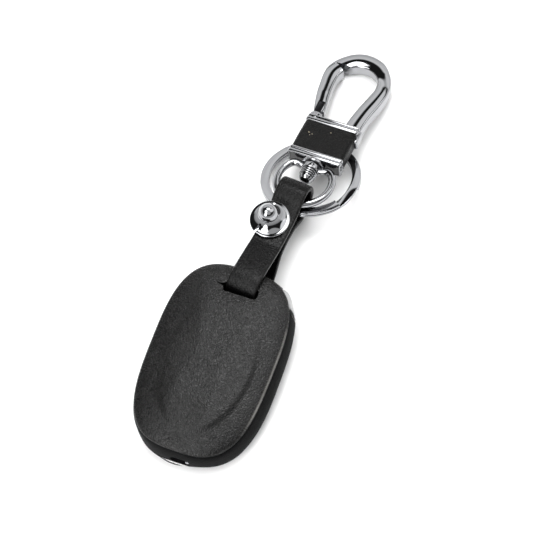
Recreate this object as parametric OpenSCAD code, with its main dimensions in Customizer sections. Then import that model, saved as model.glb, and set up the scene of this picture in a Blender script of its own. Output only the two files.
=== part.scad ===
// Key fob cover: a moulded leather cover around a key remote, with a leather
// strap, a chrome stud, a flat split key ring and a swivel snap hook.
// It lies button side down; +Y runs along the cover towards the hook.

/* [Cover] */
// Half width of the cover at its top rim, mm
cover_a = 21.9; // [21.5:0.1:22.5]
// Half length of the cover at its top rim, mm
cover_b = 34; // [33.5:0.1:34.5]
// Squareness of the outline, 2 is an ellipse
cover_n = 3.1; // [2.8:0.05:3.4]
// How much wider the strap end is than the other end
cover_egg = 0.025; // [0:0.005:0.05]
// How far the side wall bulges beyond the rim, mm
bulge = 1.4; // [1:0.1:1.8]
// Leather wall thickness, mm
wall = 1.8; // [1.6:0.1:2]
// Height where the two leather shells meet, mm
parting = 12.3; // [12:0.1:12.6]

/* [Strap] */
// Width of the strap, mm
strap_w = 11; // [10:0.1:11.4]
// Thickness of the strap leather, mm
strap_t = 2; // [1.6:0.1:2.2]
// Sideways angle of the strap to the cover, degrees
strap_yaw = 6.3; // [5.8:0.1:6.8]

/* [Stud] */
// Radius of the stud's flange, mm
flange_r = 7.1; // [6.5:0.1:7.5]
// Radius of the stud's ball, mm
ball_r = 3.5; // [3:0.1:3.8]
// Radius of the stud's screw post, mm
post_r = 1.6; // [1.4:0.1:1.8]

/* [Key ring] */
// Outer radius of the flat split ring, mm
ring_r = 18.2; // [17.9:0.1:18.3]
// Width of the flat band, mm
ring_band = 3.3; // [3:0.1:3.4]
// Thickness of the two coils together, mm
ring_t = 2; // [1.8:0.1:2.1]

/* [Swivel] */
// Centreline radius of the swivel ring, mm
swivel_r = 10; // [9.8:0.1:10.1]
// Bar radius of the swivel ring, mm
swivel_bar = 1.4; // [1.2:0.05:1.45]
// Radius of the swivel pin's shaft, mm
pin_r = 1.5; // [1.3:0.05:1.6]
// Running clearance of pins in their holes, mm
clearance = 0.05; // [0.02:0.01:0.08]

/* [Hook] */
// Half width of the hook's frame, mm
frame_x = 10.4; // [10.2:0.1:10.5]
// Half thickness of the hook's frame, mm
frame_z = 3.5; // [3.3:0.1:3.5]
// Radius of the hook's bar, mm
bar_r = 3; // [2.8:0.1:3]
// Centreline radius of the hook's round end, mm
loop_r = 10.05; // [9.95:0.05:10.1]

/* [Buttons] */
// Length of a button across the cover, mm
button_l = 12; // [10:0.5:13]
// Width of a button along the cover, mm
button_w = 7; // [6:0.5:7.5]

/* [Hidden] */
$fn = 64;

// where the cover's own centre lies from the part's origin
cover_at = [-1.29, -48.7, 0];
// strap root in the slot, seen from the cover's centre
strap_at = [1.2, 25.3, 0];
// key ring centre and its tilt, far side down and right side up
ring_at = [7.74, 77.34, 6.25];
ring_tilt = [-15.5, -6.5];
// near edge of the hook's frame, its turn, tilt and roll
hook_at = [8.02, 82.3, 10.55];
hook_turn = [-8.7, -4.5, -4.5];
// stud place along and across the strap
stud_s = 28.2;
stud_x = -2.6;
// height of the strap's upper face at the stud
stud_z = 15.5;
// slot for the strap in both shells
slot_x = [-7.4, 7.7];
slot_y = [23.3, 27.4];
// button places along the cover
button_y = [8, -2, -12];

// one superellipse point
function sep(a, b, t) = [
    a * sign(cos(t)) * pow(abs(cos(t)), 2 / cover_n)
      * (1 + cover_egg * sign(sin(t)) * pow(abs(sin(t)), 2 / cover_n)),
    b * sign(sin(t)) * pow(abs(sin(t)), 2 / cover_n)];
// cover outline grown by d all round
function outline(d) = [for (i = [0:71]) sep(cover_a + d, cover_b + d, i * 5)];
// the outline shortened at the strap end to reach only y = top
function short_outline(d, top) =
    let (b = (top + cover_b + d) / 2, c = (top - cover_b - d) / 2)
    [for (i = [0:71]) sep(cover_a + d, b, i * 5) + [0, c]];

// Catmull-Rom point between p1 and p2
function cr(p0, p1, p2, p3, t) =
    0.5 * (2 * p1 + (p2 - p0) * t + (2 * p0 - 5 * p1 + 4 * p2 - p3) * t * t
    + (3 * p1 - p0 - 3 * p2 + p3) * t * t * t);
function smooth(p, k) = let (n = len(p))
    [for (i = [0:n - 2]) for (j = [0:k - 1])
        cr(p[max(i - 1, 0)], p[i], p[i + 1], p[min(i + 2, n - 1)], j / k), p[n - 1]];
function unit(v) = v / norm(v);
function side(p, i, d) = let (n = len(p), t = unit(p[min(i + 1, n - 1)] - p[max(i - 1, 0)]))
    p[i] + d * [-t[1], t[0]];
// closed outline of a ribbon of thickness t along the points p
function ribbon(p, t) = concat([for (i = [0:len(p) - 1]) side(p, i, t / 2)],
    [for (i = [len(p) - 1:-1:0]) side(p, i, -t / 2)]);

// strap centreline from above the cover, down through the slot, and out below
lower_path = [[19.5, 14.2], [14, 15.2], [8, 16.3], [3.6, 16.9], [0.8, 15.8], [-0.1, 13.2],
              [0, 8], [0, 3.4], [0.9, 1.9], [2.8, 1.3], [9.6, 1.35], [13.6, 3.4],
              [16.8, 6.4], [19.5, 9]];
// strap centreline round the rings: out above, back below
upper_path = [[19.9, 14.1], [24, 14.1], [28.2, 14.25], [32, 14.4], [35, 15.1], [38, 16.8],
              [41.5, 17.6], [44.4, 16.1], [45.6, 12.4], [44.4, 8.9], [41, 6.7], [37.5, 6.3],
              [34.5, 7.5], [31.2, 9.6], [28.2, 10.2], [24, 10.2], [19.9, 9.3]];

module frame() translate(cover_at) children();
module at_strap() frame() translate(strap_at) rotate([0, 0, -strap_yaw]) children();
// a side profile in (along, up) made into a strap-wide solid
module strap_solid(p) rotate([90, 0, 90]) translate([0, 0, -strap_w / 2])
    linear_extrude(strap_w) polygon(ribbon(smooth(p, 4), strap_t));
module at_stud() at_strap() translate([stud_x, stud_s, stud_z]) children();
module at_ring() frame() translate(ring_at) rotate([ring_tilt[0], 0, 0])
    rotate([0, ring_tilt[1], 0]) children();
module at_hook() frame() translate(hook_at) rotate([0, 0, hook_turn[1]])
    rotate([hook_turn[0], 0, 0]) rotate([0, hook_turn[2], 0]) children();
module slab(p, z) translate([0, 0, z]) linear_extrude(0.05) polygon(p);
module slot_cut(z0, z1) translate([slot_x[0], slot_y[0], z0])
    cube([slot_x[1] - slot_x[0], slot_y[1] - slot_y[0], z1 - z0]);
// rod between two points in the hook's plane
module rod(p, q, r) let (d = q - p) translate([p[0], p[1], 0])
    rotate([-90, 0, -atan2(d[0], d[1])]) cylinder(r = r, h = norm(d));
module rounded(w, l, h, r) linear_extrude(h) {
    square([w - 2 * r, l], center = true);
    square([w, l - 2 * r], center = true);
    for (x = [-1, 1], y = [-1, 1]) translate([x * (w / 2 - r), y * (l / 2 - r)]) circle(r, $fn = 32);
}

// the outside of both shells, shrunk by s
module tub(s, z0) hull() {
    slab(short_outline(-5 - s, 9), z0);
    slab(short_outline(-1.8 - s, 19), z0 + 0.9);
    slab(short_outline(0.3 - s, 27), z0 + 2.6);
    slab(outline(bulge - 0.2 - s), z0 + 4.6 - 0.5 * s);
    slab(outline(bulge - s), 6.2);
    slab(outline(bulge - 0.3 - s), 8.6);
    slab(outline(-s), parting - 0.05);
}
module lid(z, h) hull() {
    translate([0, 0, z]) linear_extrude(1.2) polygon(outline(0));
    slab(outline(-1.2), z + h - 1.3);
    slab(outline(-4.2), z + h - 0.6);
    slab(outline(-13), z + h);
}
module lid_hollow(z, h) hull() {
    translate([0, 0, z - 0.5]) linear_extrude(1.1) polygon(outline(-wall));
    slab(outline(-wall - 3.4), z + h - 0.5);
    slab(outline(-wall - 12), z + h);
}

module back_shell() color([0.11, 0.11, 0.115]) frame() difference() {
    lid(parting, 3.5);
    lid_hollow(parting, 3.5 - wall);
    slot_cut(10, 20);
}

module front_shell() color([0.1, 0.1, 0.105]) frame() difference() {
    tub(0, 0);
    tub(wall, wall);
    slot_cut(-1, 13);
    // windows over the buttons
    for (y = button_y) translate([0, y, -1]) rounded(button_l + 1, button_w + 1, 4, 2);
    // opening at the end for the remote's loop
    translate([0.7, -34, 5.6]) rotate([90, 0, 0]) translate([0, 0, -4]) rounded(11, 8, 8, 3.2);
    // corner cut away round the remote's metal shoulder
    translate([0, 0, 3.2]) linear_extrude(20)
        polygon([[13, 40], [13, 24.2], [19.2, 24.2], [24, 22], [30, 22], [30, 40]]);
}

module remote_back_case() color([0.04, 0.04, 0.045]) frame() difference() {
    hull() {
        slab(outline(-wall - 0.9), 7.6);
        slab(outline(-wall - 0.5), 9.4);
        slab(outline(-wall - 0.6), 12.2);
        slab(outline(-wall - 4), 13.2);
    }
    hull() {
        slab(outline(-wall - 2.4), 7.5);
        slab(outline(-wall - 2.2), 11.4);
        slab(outline(-wall - 5), 11.9);
    }
    translate([-8.6, 21.4, 0]) cube([17.5, 20, 20]);
    translate([13, 17.4, 0]) cube([20, 20, 20]);
}

module remote_front_case() color([0.04, 0.04, 0.045]) frame() difference() {
    hull() {
        slab(short_outline(-wall - 5.4, 8.5), wall + 0.1);
        slab(short_outline(-wall - 2, 19), wall + 1.2);
        slab(outline(-wall - 1.2), 5.6);
        slab(outline(-wall - 0.9), 7.5);
    }
    hull() {
        slab(short_outline(-wall - 6.6, 12), wall + 1.5);
        slab(short_outline(-wall - 3.6, 17), wall + 2.4);
        slab(outline(-wall - 2.6), 5.8);
        slab(outline(-wall - 2.4), 7.7);
    }
    for (y = button_y) translate([0, y, 0]) rounded(button_l + 0.4, button_w + 0.4, 6, 1.7);
    translate([-8.6, 21.4, 0]) cube([17.5, 20, 20]);
    translate([13, 17.4, 0]) cube([20, 20, 20]);
    translate([0.7, -30.5, 4.2]) cylinder(r = 5.4, h = 2.6, center = true);
}

// bright metal end of the folding key at the open corner
module remote_shoulder() color([0.78, 0.78, 0.8]) frame() difference() {
    intersection() {
        translate([0, 0, 3.6]) linear_extrude(8.2) polygon(outline(bulge + 0.2));
        linear_extrude(20) polygon([[13.4, 40], [13.4, 24.5], [19.3, 24.5], [24, 22.35], [30, 22.35], [30, 40]]);
    }
    translate([17.2, 27.6, 0]) cylinder(r = 1.6, h = 20);
}

module remote_loop() color([0.85, 0.85, 0.87]) frame() translate([0.7, -30.3, 4.2])
    rotate_extrude() translate([4.1, 0]) circle(1.1, $fn = 32);

module circuit_board() color([0.1, 0.35, 0.18]) frame() difference() {
    translate([0, 0, 6.3]) linear_extrude(1) polygon(short_outline(-6.5, 20));
    translate([0.7, -30.5, 6]) cylinder(r = 6, h = 3);
}

module button_mat() color([0.2, 0.2, 0.22]) frame()
    translate([0, 0, 5.25]) rounded(18, 34, 1, 3);

module button(y) color([0.06, 0.06, 0.065]) frame() translate([0, y, 0]) {
    translate([0, 0, 0.6]) rounded(button_l, button_w, 3.2, 1.5);
    translate([0, 0, 3.7]) rounded(button_l + 2, button_w + 2, 0.8, 2);
}
module lock_button() button(button_y[0]);
module unlock_button() button(button_y[1]);
module trunk_button() button(button_y[2]);

module strap_lower() color([0.09, 0.09, 0.095]) at_strap() strap_solid(lower_path);

module strap_upper() color([0.09, 0.09, 0.095]) difference() {
    at_strap() strap_solid(upper_path);
    at_stud() translate([0, 0, -12]) cylinder(r = post_r, h = 20);
}

module stud_head() color([0.85, 0.85, 0.87]) at_stud() difference() {
    union() {
        cylinder(r = flange_r, h = 0.8);
        translate([0, 0, 0.8]) cylinder(r1 = flange_r - 0.5, r2 = 2.6, h = 2.4);
        translate([0, 0, 3.1]) cylinder(r = 2.6, h = 1.5);
        translate([0, 0, 5.4]) sphere(ball_r);
    }
    translate([0, 0, -1]) cylinder(r = post_r, h = 4.5);
}
module stud_post() color([0.8, 0.8, 0.82]) at_stud() translate([0, 0, -7.3]) cylinder(r = post_r, h = 10.7);
module stud_back() color([0.85, 0.85, 0.87]) at_stud() difference() {
    translate([0, 0, -7.5]) cylinder(r = 3.9, h = 1.2);
    translate([0, 0, -7.3]) cylinder(r = post_r, h = 3);
}

// two flat coils joined by a short step
module key_ring() color([0.82, 0.82, 0.84]) at_ring() {
    difference() {
        for (z = [-ring_t / 2, 0.06]) translate([0, 0, z]) difference() {
            cylinder(r = ring_r, h = ring_t / 2 - 0.06, $fn = 128);
            translate([0, 0, -1]) cylinder(r = ring_r - ring_band, h = 4, $fn = 128);
        }
        // the coils' free ends
        rotate([0, 0, -22]) translate([ring_r - 5, 0, 0.02]) cube([8, 0.5, 3]);
        rotate([0, 0, -14]) translate([ring_r - 5, 0, -3.02]) cube([8, 0.5, 3]);
    }
    // step between the coils
    intersection() {
        rotate([0, 0, -17.5]) translate([ring_r - ring_band, -0.9, -0.2]) cube([ring_band - 0.05, 1.8, 0.4]);
        cylinder(r = ring_r, h = 3, center = true);
    }
}

// round ring whose top dips into a boss for the pin
module swivel_ring() color([0.84, 0.84, 0.86]) at_hook() difference() {
    union() {
        translate([0, -9.6, 0]) rotate([0, 0, 137]) rotate_extrude(angle = 266, $fn = 96)
            translate([swivel_r, 0]) circle(swivel_bar, $fn = 48);
        for (k = [-1, 1]) rod([k * 7.6, -3.2], [k * 1.9, -3.8], swivel_bar - 0.2);
        translate([0, -2.6, 0]) rotate([90, 0, 0]) cylinder(r = 3.4, h = 2.3);
    }
    translate([0, 0, 0]) rotate([90, 0, 0]) cylinder(r = pin_r + clearance, h = 8);
}

module swivel_washer() color([0.82, 0.82, 0.84]) at_hook() difference() {
    translate([0, -1.2, 0]) rotate([90, 0, 0]) cylinder(r = 4.2, h = 1.1);
    rotate([90, 0, 0]) cylinder(r = pin_r, h = 8);
}

module swivel_pin() color([0.85, 0.85, 0.87]) at_hook() {
    // shaft and its riveted end
    translate([0, 0.3, 0]) rotate([90, 0, 0]) cylinder(r = pin_r, h = 5.6);
    // grooved head
    for (i = [0:2]) translate([0, -5.05 - i * 0.9, 0]) rotate([90, 0, 0]) cylinder(r = 3, h = 0.6);
    translate([0, -5.05, 0]) rotate([90, 0, 0]) cylinder(r = 2.5, h = 2.8);
    difference() {
        translate([0, -6.9, 0]) sphere(2.75);
        translate([-4, -7.5, -4]) cube([8, 8, 8]);
    }
}

module end_frame() color([0.85, 0.85, 0.87]) at_hook() difference() {
    rotate([-90, 0, 0]) translate([0, 0, -1.1]) rounded(2 * frame_x, 2 * frame_z, 3, 0.8);
    rotate([-90, 0, 0]) translate([0, 0, 0.3]) rounded(2 * frame_x - 1.4, 2 * frame_z - 1.4, 3, 0.6);
    rotate([90, 0, 0]) cylinder(r = pin_r, h = 12, center = true);
}

module leather_wrap() color([0.1, 0.1, 0.105]) at_hook() difference() {
    union() {
        rotate([-90, 0, 0]) translate([0, 0, 1.95]) rounded(20.2, 6.7, 12.5, 1.9);
        rotate([-90, 0, 0]) translate([0, 0, 0.4]) rounded(19.2, 5.4, 2, 1.4);
    }
    translate([-8.15, -1, -1.65]) cube([16.3, 30, 3.3]);
}

module hook_body() color([0.85, 0.85, 0.87]) at_hook() difference() {
    union() {
        // core plate inside the leather
        translate([-8.1, 0.4, -1.6]) cube([16.2, 15, 3.2]);
        // upper bar
        rotate([-90, 0, 0]) translate([0, 0, 14.5]) rounded(2 * frame_x - 0.2, 2 * frame_z, 3, 0.8);
        // arm and round end
        rod([7.1, 15.3], [9.7, 36.8], bar_r - 0.12);
        translate([-0.1, 38.2, 0]) rotate([0, 0, -9]) rotate_extrude(angle = 188, $fn = 96)
            translate([loop_r, 0]) circle(bar_r, $fn = 48);
        // gate lugs
        translate([-7.6, 17.8, -3.2]) cylinder(r = 2.1, h = 6.4);
        translate([-9.7, 16.2, -3.2]) cube([4.2, 1.6, 6.4]);
    }
    // slot for the gate's eye
    translate([-10.45, 15.85, -1.35]) cube([6, 8, 3.5]);
    translate([-7.6, 17.8, -5]) cylinder(r = 0.9, h = 10, $fn = 32);
    // slanted end that the gate closes against
    translate([0, 0, -6]) linear_extrude(12)
        polygon([[-17, 33.6], [-10.8, 43.4], [-4, 43.4], [-4, 30], [-17, 30]]);
}

module gate() color([0.85, 0.85, 0.87]) at_hook() difference() {
    union() {
        translate([-7.6, 17.8, -1.25]) cylinder(r = 1.65, h = 2.5);
        translate([-9.25, 17.8, -1.25]) cube([3.3, 4, 2.5]);
        rod([-7.75, 20.9], [-10, 31], 2.65);
        translate([-10, 31, 0]) sphere(2.85);
        rod([-10, 31], [-10.4, 37.6], 2.85);
        translate([-10.4, 37.6, 0]) sphere(2.95);
        rod([-10.4, 37.6], [-9.4, 44], 2.9);
    }
    // slanted tip
    translate([0, 0, -6]) linear_extrude(12)
        polygon([[-17, 32.9], [-10.9, 42.7], [-9.2, 42.6], [-4, 39.6], [-4, 50], [-17, 50]]);
    translate([-7.6, 17.8, -5]) cylinder(r = 0.9 + clearance, h = 10, $fn = 32);
}

module gate_pin() color([0.8, 0.8, 0.82]) at_hook()
    translate([-7.6, 17.8, -3.3]) cylinder(r = 0.9, h = 6.6, $fn = 32);

// torsion spring round the gate pin, beside the gate's eye
module gate_spring() color([0.7, 0.7, 0.72]) at_hook()
    for (z = [1.5, 1.9]) translate([-7.6, 17.8, z]) rotate_extrude($fn = 32)
        translate([1.25, 0]) circle(0.19, $fn = 16);

back_shell();
front_shell();
remote_back_case();
remote_front_case();
remote_shoulder();
remote_loop();
circuit_board();
button_mat();
lock_button();
unlock_button();
trunk_button();
strap_lower();
strap_upper();
stud_head();
stud_post();
stud_back();
key_ring();
swivel_ring();
swivel_washer();
swivel_pin();
end_frame();
leather_wrap();
hook_body();
gate();
gate_pin();
gate_spring();
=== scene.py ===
import bpy, bmesh, math
import numpy as np
from mathutils import Vector, Matrix


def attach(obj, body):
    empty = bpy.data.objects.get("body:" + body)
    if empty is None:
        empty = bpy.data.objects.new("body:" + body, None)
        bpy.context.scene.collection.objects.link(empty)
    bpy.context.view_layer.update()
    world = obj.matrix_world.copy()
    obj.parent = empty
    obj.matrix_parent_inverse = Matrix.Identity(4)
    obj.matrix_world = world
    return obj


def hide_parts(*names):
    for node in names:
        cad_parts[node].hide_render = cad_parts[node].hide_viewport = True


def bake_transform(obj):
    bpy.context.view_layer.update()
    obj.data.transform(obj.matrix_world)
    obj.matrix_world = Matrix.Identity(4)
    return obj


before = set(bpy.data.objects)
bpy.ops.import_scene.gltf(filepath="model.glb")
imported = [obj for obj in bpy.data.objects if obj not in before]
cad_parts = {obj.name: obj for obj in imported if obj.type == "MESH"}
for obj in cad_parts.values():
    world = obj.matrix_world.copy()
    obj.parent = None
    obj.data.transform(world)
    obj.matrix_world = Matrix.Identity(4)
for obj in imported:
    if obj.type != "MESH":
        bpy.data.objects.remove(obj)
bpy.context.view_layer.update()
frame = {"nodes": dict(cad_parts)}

scene = bpy.context.scene
scene.view_settings.view_transform = "Standard"

# ---------------------------------------------------------------- frames, in mm
def rot(axis, deg):
    a = math.radians(deg)
    x, y, z = np.array(axis, float) / np.linalg.norm(axis)
    c, s = math.cos(a), math.sin(a)
    C = 1 - c
    return np.array([[c + x * x * C, x * y * C - z * s, x * z * C + y * s],
                     [y * x * C + z * s, c + y * y * C, y * z * C - x * s],
                     [z * x * C - y * s, z * y * C + x * s, c + z * z * C]])

COVER = np.array([-1.29, -48.7, 0.0])
STRAP_AT = np.array([1.2, 25.3, 0.0])
R_STRAP = rot((0, 0, 1), -6.3)
RING_AT = np.array([7.74, 77.34, 6.25])
R_RING = rot((1, 0, 0), -15.5) @ rot((0, 1, 0), -6.5)
HOOK_AT = np.array([8.02, 82.3, 10.55])
R_HOOK = rot((0, 0, 1), -4.5) @ rot((1, 0, 0), -8.7) @ rot((0, 1, 0), -4.5)
STUD = np.array([-2.6, 28.2, 15.5])
I3 = np.eye(3)

def place(p, origin, R):
    p = np.atleast_2d(np.asarray(p, float))
    return (p @ R.T + origin + COVER) / 1000.0

def cov(p): return place(p, np.zeros(3), I3)
def strp(p): return place(p, STRAP_AT, R_STRAP)
def stud(p): return place(np.atleast_2d(np.asarray(p, float)) + STUD, STRAP_AT, R_STRAP)
def ring(p): return place(p, RING_AT, R_RING)
def hook(p): return place(p, HOOK_AT, R_HOOK)

# ---------------------------------------------------------------- camera first
def camera():
    data = bpy.data.cameras.new("camera")
    cam = bpy.data.objects.new("camera", data)
    scene.collection.objects.link(cam)
    right = Vector((0.93352791, 0.34505468, -0.09727752))
    up = Vector((-0.28243297, 0.87497468, 0.39325683))
    back = Vector((0.22081048, -0.33964184, 0.9142681))
    m = Matrix((right, up, back)).transposed().to_4x4()
    m.translation = Vector((0.110119, -0.173175, 0.448849))
    cam.matrix_world = m
    data.sensor_width = 36
    data.lens = 1377.361 / 533 * 36
    data.clip_start = 0.01
    data.clip_end = 20
    scene.camera = cam
camera()

# ---------------------------------------------------------------- materials
def new_mat(name):
    m = bpy.data.materials.new(name)
    m.use_nodes = True
    nt = m.node_tree
    nt.nodes.clear()
    out = nt.nodes.new("ShaderNodeOutputMaterial")
    bs = nt.nodes.new("ShaderNodeBsdfPrincipled")
    nt.links.new(bs.outputs[0], out.inputs[0])
    return m, nt, bs

def node(nt, kind, **kw):
    n = nt.nodes.new(kind)
    for k, v in kw.items():
        if k in n.inputs:
            n.inputs[k].default_value = v
        else:
            setattr(n, k, v)
    return n

def ramp(nt, fac, stops, interp="LINEAR"):
    r = nt.nodes.new("ShaderNodeValToRGB")
    r.color_ramp.interpolation = interp
    els = r.color_ramp.elements
    while len(els) < len(stops):
        els.new(0.5)
    for e, (p, c) in zip(els, stops):
        e.position = p
        e.color = (c, c, c, 1) if isinstance(c, (int, float)) else (*c, 1)
    nt.links.new(fac, r.inputs[0])
    return r.outputs[0]

def leather(name, dark, light, rough, grain=1.0, scale=1.0, edge=0.0, spec=0.5, rough_and_shade=0.0):
    m, nt, bs = new_mat(name)
    co = node(nt, "ShaderNodeTexCoord").outputs["Object"]
    L = nt.links.new
    # colour: broad cloudy wear plus fine speckle
    broad = node(nt, "ShaderNodeTexNoise", Scale=90.0, Detail=4.0, Roughness=0.6)
    fine = node(nt, "ShaderNodeTexNoise", Scale=1500.0 * scale, Detail=3.0, Roughness=0.65)
    L(co, broad.inputs["Vector"]); L(co, fine.inputs["Vector"])
    mix = node(nt, "ShaderNodeMath", operation="MULTIPLY_ADD")
    L(fine.outputs[0], mix.inputs[0]); mix.inputs[1].default_value = 1.1
    half = node(nt, "ShaderNodeMath", operation="MULTIPLY")
    L(broad.outputs[0], half.inputs[0]); half.inputs[1].default_value = 0.35
    L(half.outputs[0], mix.inputs[2])
    col = ramp(nt, mix.outputs[0], [(0.55, dark), (0.95, light)])
    # pebbles with creases between them
    cell = node(nt, "ShaderNodeTexVoronoi", feature="SMOOTH_F1", Scale=1700.0 * scale)
    warp = node(nt, "ShaderNodeTexNoise", Scale=700.0 * scale, Detail=2.0)
    L(co, warp.inputs["Vector"])
    add = node(nt, "ShaderNodeVectorMath", operation="MULTIPLY_ADD")
    L(warp.outputs["Color"], add.inputs[0]); add.inputs[1].default_value = (0.0003,) * 3
    L(co, add.inputs[2])
    L(add.outputs[0], cell.inputs["Vector"])
    # painted shade: the colour is darkened to a quarter in the creases between the pebbles
    crease_shade = node(nt, "ShaderNodeMix", data_type="RGBA", blend_type="MULTIPLY", Factor=1.0)
    L(col, crease_shade.inputs["A"])
    L(ramp(nt, cell.outputs["Distance"], [(0.1, 1.0), (0.62, 0.25)]), crease_shade.inputs["B"])
    col = crease_shade.outputs["Result"]
    # the edge attribute lightens the base colour: real edge paint on the strap, and a painted highlight on the cover's
    # right rim
    if edge:
        at = node(nt, "ShaderNodeAttribute", attribute_name="edge")
        mx = node(nt, "ShaderNodeMix", data_type="RGBA")
        edge_wear_and_highlight = node(nt, "ShaderNodeMath", operation="MULTIPLY")
        L(at.outputs["Fac"], edge_wear_and_highlight.inputs[0])
        L(ramp(nt, broad.outputs[0], [(0.35, 0.55), (0.6, 1.0)]), edge_wear_and_highlight.inputs[1])
        L(edge_wear_and_highlight.outputs[0], mx.inputs["Factor"])
        L(col, mx.inputs["A"])
        mx.inputs["B"].default_value = (edge, edge * 0.97, edge * 0.92, 1)
        col = mx.outputs["Result"]
    L(col, bs.inputs["Base Color"])
    base = ramp(nt, fine.outputs[0], [(0.3, rough - 0.06), (0.7, rough + 0.08)])
    # the attribute read here raises roughness and halves the base colour where set; the halved colour is painted shade
    if rough_and_shade:
        rough_and_shade_mask = node(nt, "ShaderNodeAttribute", attribute_name="rough_and_shade").outputs["Fac"]
        ro = node(nt, "ShaderNodeMath", operation="MULTIPLY_ADD")
        L(rough_and_shade_mask, ro.inputs[0]); ro.inputs[1].default_value = rough_and_shade; L(base, ro.inputs[2])
        base = ro.outputs[0]
        painted_shade_mul = node(nt, "ShaderNodeMix", data_type="RGBA", blend_type="MULTIPLY")
        L(rough_and_shade_mask, painted_shade_mul.inputs["Factor"]); L(col, painted_shade_mul.inputs["A"]); painted_shade_mul.inputs["B"].default_value = (0.5, 0.5, 0.5, 1)
        col = painted_shade_mul.outputs["Result"]
        L(col, bs.inputs["Base Color"])
    L(base, bs.inputs["Roughness"])
    bs.inputs["Specular IOR Level"].default_value = spec
    # grain: pebbles, and tiny pores
    b1 = node(nt, "ShaderNodeBump", Strength=1.0 * grain, Distance=0.0002)
    L(cell.outputs["Distance"], b1.inputs["Height"])
    b1.invert = True
    b2 = node(nt, "ShaderNodeBump", Strength=0.35 * grain, Distance=0.00006)
    L(fine.outputs[0], b2.inputs["Height"]); L(b1.outputs[0], b2.inputs["Normal"])
    wide = node(nt, "ShaderNodeTexNoise", Scale=160.0, Detail=2.0)
    L(co, wide.inputs["Vector"])
    b3 = node(nt, "ShaderNodeBump", Strength=0.1, Distance=0.0003)
    L(wide.outputs[0], b3.inputs["Height"]); L(b2.outputs[0], b3.inputs["Normal"])
    L(b3.outputs[0], bs.inputs["Normal"])
    return m

def metal(name, colour, rough, smudge=0.03, brushed=False):
    m, nt, bs = new_mat(name)
    L = nt.links.new
    bs.inputs["Metallic"].default_value = 1.0
    bs.inputs["Base Color"].default_value = (*colour, 1)
    co = node(nt, "ShaderNodeTexCoord").outputs["Object"]
    n = node(nt, "ShaderNodeTexNoise", Scale=140.0, Detail=3.0)
    L(co, n.inputs["Vector"])
    L(ramp(nt, n.outputs[0], [(0.35, rough), (0.75, rough + smudge)]), bs.inputs["Roughness"])
    tiny = node(nt, "ShaderNodeTexNoise", Scale=3000.0 if brushed else 420.0, Detail=2.0)
    if brushed:
        mp = node(nt, "ShaderNodeMapping", Scale=(1.0, 0.05, 1.0))
        L(co, mp.inputs["Vector"]); L(mp.outputs[0], tiny.inputs["Vector"])
    else:
        L(co, tiny.inputs["Vector"])
    b = node(nt, "ShaderNodeBump", Strength=0.12 if brushed else 0.03, Distance=0.00005)
    L(tiny.outputs[0], b.inputs["Height"])
    L(b.outputs[0], bs.inputs["Normal"])
    return m

def plastic(name, dark, light, rough, bump=0.1, scale=900.0, coat=0.0):
    m, nt, bs = new_mat(name)
    L = nt.links.new
    co = node(nt, "ShaderNodeTexCoord").outputs["Object"]
    n = node(nt, "ShaderNodeTexNoise", Scale=scale, Detail=3.0)
    L(co, n.inputs["Vector"])
    L(ramp(nt, n.outputs[0], [(0.3, dark), (0.7, light)]), bs.inputs["Base Color"])
    L(ramp(nt, n.outputs[0], [(0.3, rough), (0.7, rough + 0.08)]), bs.inputs["Roughness"])
    bs.inputs["Coat Weight"].default_value = coat
    b = node(nt, "ShaderNodeBump", Strength=bump, Distance=0.00005)
    L(n.outputs[0], b.inputs["Height"]); L(b.outputs[0], bs.inputs["Normal"])
    return m

M = {
    "cover": leather("cover_leather", (0.002, 0.002, 0.0022), (0.011, 0.0108, 0.0102), 0.25, 0.85, 1.4, edge=0.14, spec=0.25, rough_and_shade=0.0),
    "wall": leather("wall_leather", (0.002, 0.0022, 0.0024), (0.007, 0.0072, 0.0075), 0.62, 0.35, 1.2, spec=0.05),
    "strap": leather("strap_leather", (0.002, 0.002, 0.0022), (0.006, 0.006, 0.0058), 0.26, 0.6, 1.3, edge=0.008, spec=0.13),
    "wrap": leather("wrap_leather", (0.003, 0.003, 0.0032), (0.01, 0.01, 0.0096), 0.36, 1.0, 1.1, spec=0.11),
    "raw": plastic("raw_leather_edge", (0.003, 0.003, 0.003), (0.05, 0.045, 0.04), 0.9, 0.6, 2500.0),
    "chrome": metal("chrome", (0.32, 0.324, 0.335), 0.03, 0.03),
    "steel": metal("bright_steel", (0.5, 0.5, 0.52), 0.22, 0.08, True),
    "satin": plastic("satin_silver", (0.28, 0.28, 0.285), (0.42, 0.42, 0.425), 0.34, 0.1, 700.0),
    "gloss": plastic("gloss_black", (0.006, 0.006, 0.0065), (0.009, 0.009, 0.0095), 0.12, 0.03, 300.0, 0.5),
    "rubber": plastic("button_rubber", (0.012, 0.012, 0.0125), (0.02, 0.02, 0.021), 0.55, 0.25, 2500.0),
    "mat": plastic("mat_rubber", (0.07, 0.07, 0.08), (0.1, 0.1, 0.11), 0.6, 0.2, 1800.0),
    # near-black metal for the sunk flat on the gate: painted shade in the recess
    "dark": metal("recess_painted_shade", (0.012, 0.012, 0.013), 0.3, 0.05),
    # light ledge: painted highlight standing for the brightly lit leather lip under the end opening
    "lip": plastic("opening_ledge_painted_highlight", (0.5, 0.5, 0.49), (0.75, 0.75, 0.73), 0.3, 0.2, 1500.0),
    "nick": plastic("raw_nick", (0.1, 0.085, 0.06), (0.45, 0.4, 0.3), 0.8, 0.5, 6000.0),
    "board": plastic("circuit_board", (0.01, 0.09, 0.03), (0.02, 0.14, 0.05), 0.4, 0.2, 700.0),
}
SLOT = {"cover": "cover_leather", "wall": "cover_leather", "raw": "cover_leather", "strap": "strap_leather",
        "wrap": "wrap_leather", "chrome": "chrome", "steel": "steel", "satin": "satin_metal",
        "gloss": "remote_plastic", "rubber": "button_rubber", "mat": "mat_rubber", "board": "board"}

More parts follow.
